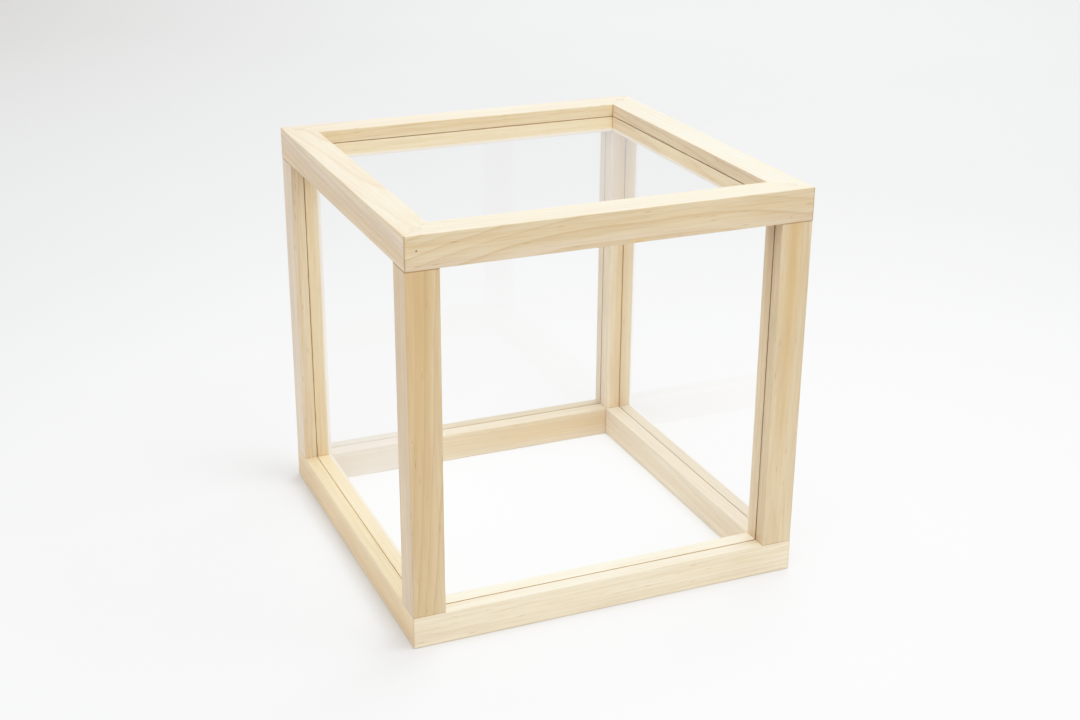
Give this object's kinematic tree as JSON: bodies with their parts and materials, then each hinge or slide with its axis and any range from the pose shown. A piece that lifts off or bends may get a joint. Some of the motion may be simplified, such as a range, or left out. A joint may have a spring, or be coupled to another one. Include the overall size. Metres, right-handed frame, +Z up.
{
  "type": "acrylic display cube",
  "caption": "Open-bottomed display cover: a mitred square frame of pine sticks and posts with clear acrylic panels held in grooves on the sides and top, lifted over an exhibit.",
  "frame": {"origin": "centre of the square footprint, on the resting plane under the base ring", "axes": "+Z up, -Y towards the front, +X to the right as seen from the front"},
  "size_m": [0.4, 0.4, 0.4],
  "materials": {
    "pine": "clear pale pine, planed and lightly sanded, unvarnished",
    "plug_wood": "pine plug, sanded flush, a little darker and greyer than the rails",
    "clear_acrylic": "clear colourless, polished faces",
    "screw_steel": "zinc plated",
    "brad_steel": "dull bright wire"
  },
  "bodies": {
    "root": {"top_front_rail": "pine", "top_back_rail": "pine", "top_left_rail": "pine", "top_right_rail": "pine", "bottom_front_rail": "pine", "bottom_back_rail": "pine", "bottom_left_rail": "pine", "bottom_right_rail": "pine", "front_left_post": "pine", "front_right_post": "pine", "back_left_post": "pine", "back_right_post": "pine", "front_panel": "clear_acrylic", "back_panel": "clear_acrylic", "left_panel": "clear_acrylic", "right_panel": "clear_acrylic", "top_panel": "clear_acrylic", "top_corner_screws": "screw_steel", "bottom_corner_screws": "screw_steel", "top_screw_plugs": "plug_wood", "bottom_screw_plugs": "plug_wood", "top_mitre_brads": "brad_steel"}
  },
  "joints": []
}
